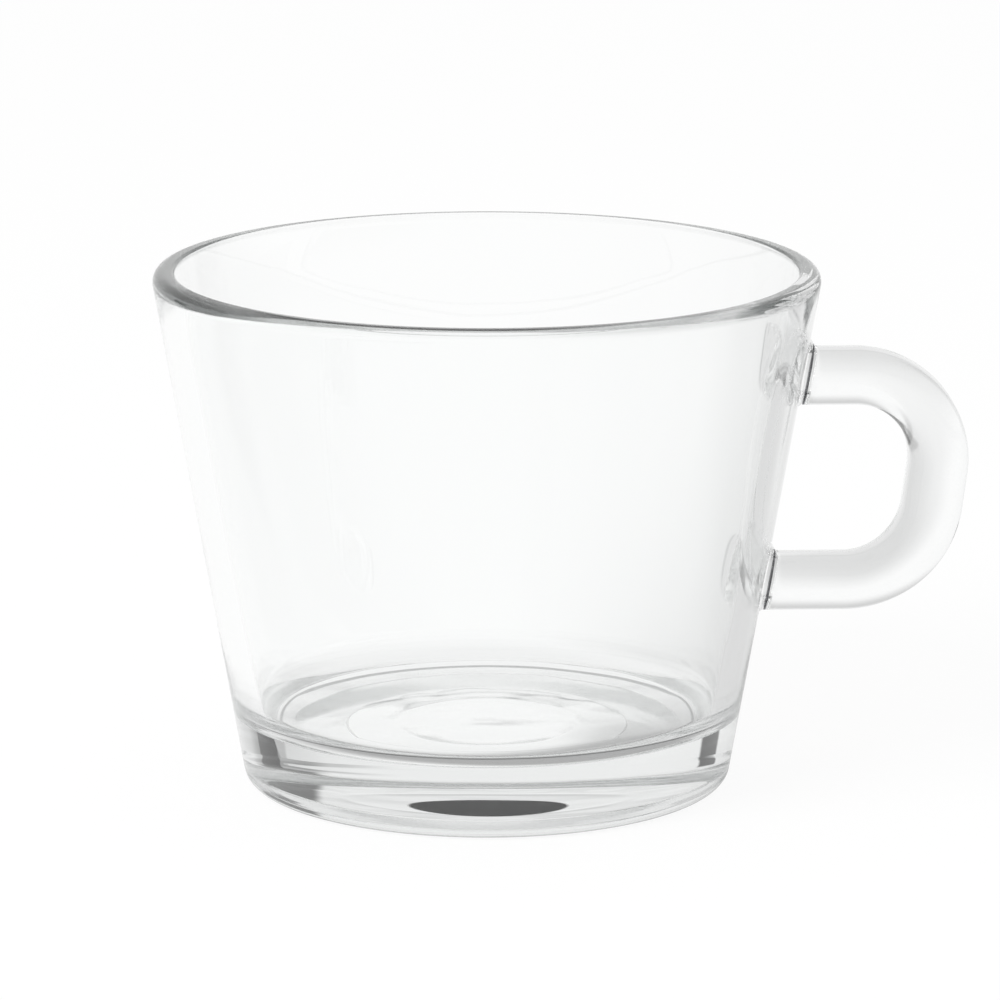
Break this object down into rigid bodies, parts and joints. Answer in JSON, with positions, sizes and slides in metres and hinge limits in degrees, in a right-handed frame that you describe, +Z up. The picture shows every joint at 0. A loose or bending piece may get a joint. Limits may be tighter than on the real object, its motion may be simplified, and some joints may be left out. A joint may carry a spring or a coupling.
{
  "type": "cortado glass",
  "caption": "Small conical drinking glass with a thick round foot and a loop handle that stands on low pads on the wall, for short coffee drinks.",
  "frame": {"origin": "middle of the foot on the table, on the axis of the bowl", "axes": "+Z up along the axis of the bowl; +X towards the handle; the glass is the same on both sides of the XZ plane"},
  "size_m": [0.1031, 0.084, 0.0661],
  "materials": {
    "clear_glass": "clear pressed glass with a smooth fire-polished surface",
    "pad_glass": "clear glass with a darker edge where it meets the handle",
    "handle_glass": "milky clear glass with a soft satin surface"
  },
  "bodies": {
    "root": {"bowl": "clear_glass", "upper_pad": "pad_glass", "lower_pad": "pad_glass", "handle": "handle_glass"}
  },
  "joints": []
}
